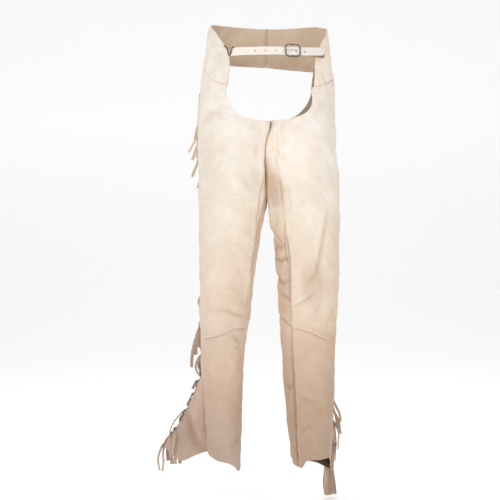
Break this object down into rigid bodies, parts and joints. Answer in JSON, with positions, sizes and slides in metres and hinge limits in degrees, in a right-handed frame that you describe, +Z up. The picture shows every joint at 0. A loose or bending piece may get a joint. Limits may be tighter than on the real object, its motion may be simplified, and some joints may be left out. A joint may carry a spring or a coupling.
{
  "type": "leather chaps",
  "caption": "Fringed suede chaps in their worn shape: yoked legs, open front and seat, buckled strap, flared hems.",
  "frame": {"origin": "middle of the waist, 16 mm above the middle of the strap, where the wearer's waist holds the chaps", "axes": "+X towards the wearer's left, +Y to the wearer's back, +Z up along the legs; the front faces -Y"},
  "size_m": [0.4472, 0.2932, 1.1536],
  "materials": {
    "yoke_suede": "napped suede",
    "thigh_suede": "napped suede",
    "shin_suede": "napped suede",
    "fringe_suede": "cut suede edge",
    "strap_leather": "matte",
    "nickel": "satin",
    "dark_wire": "dark"
  },
  "bodies": {
    "root": {"belt_billet": "strap_leather", "belt_strap": "strap_leather", "buckle_frame": "nickel", "buckle_prong": "nickel", "hook": "dark_wire", "right_yoke": "yoke_suede", "right_front_thigh": "thigh_suede", "right_back_thigh": "thigh_suede", "right_front_shin": "shin_suede", "right_back_shin": "shin_suede", "right_fringe_upper": "fringe_suede", "right_fringe_lower": "fringe_suede", "left_yoke": "yoke_suede", "left_front_thigh": "thigh_suede", "left_back_thigh": "thigh_suede", "left_front_shin": "shin_suede", "left_back_shin": "shin_suede", "left_fringe_upper": "fringe_suede", "left_fringe_lower": "fringe_suede"}
  },
  "joints": []
}
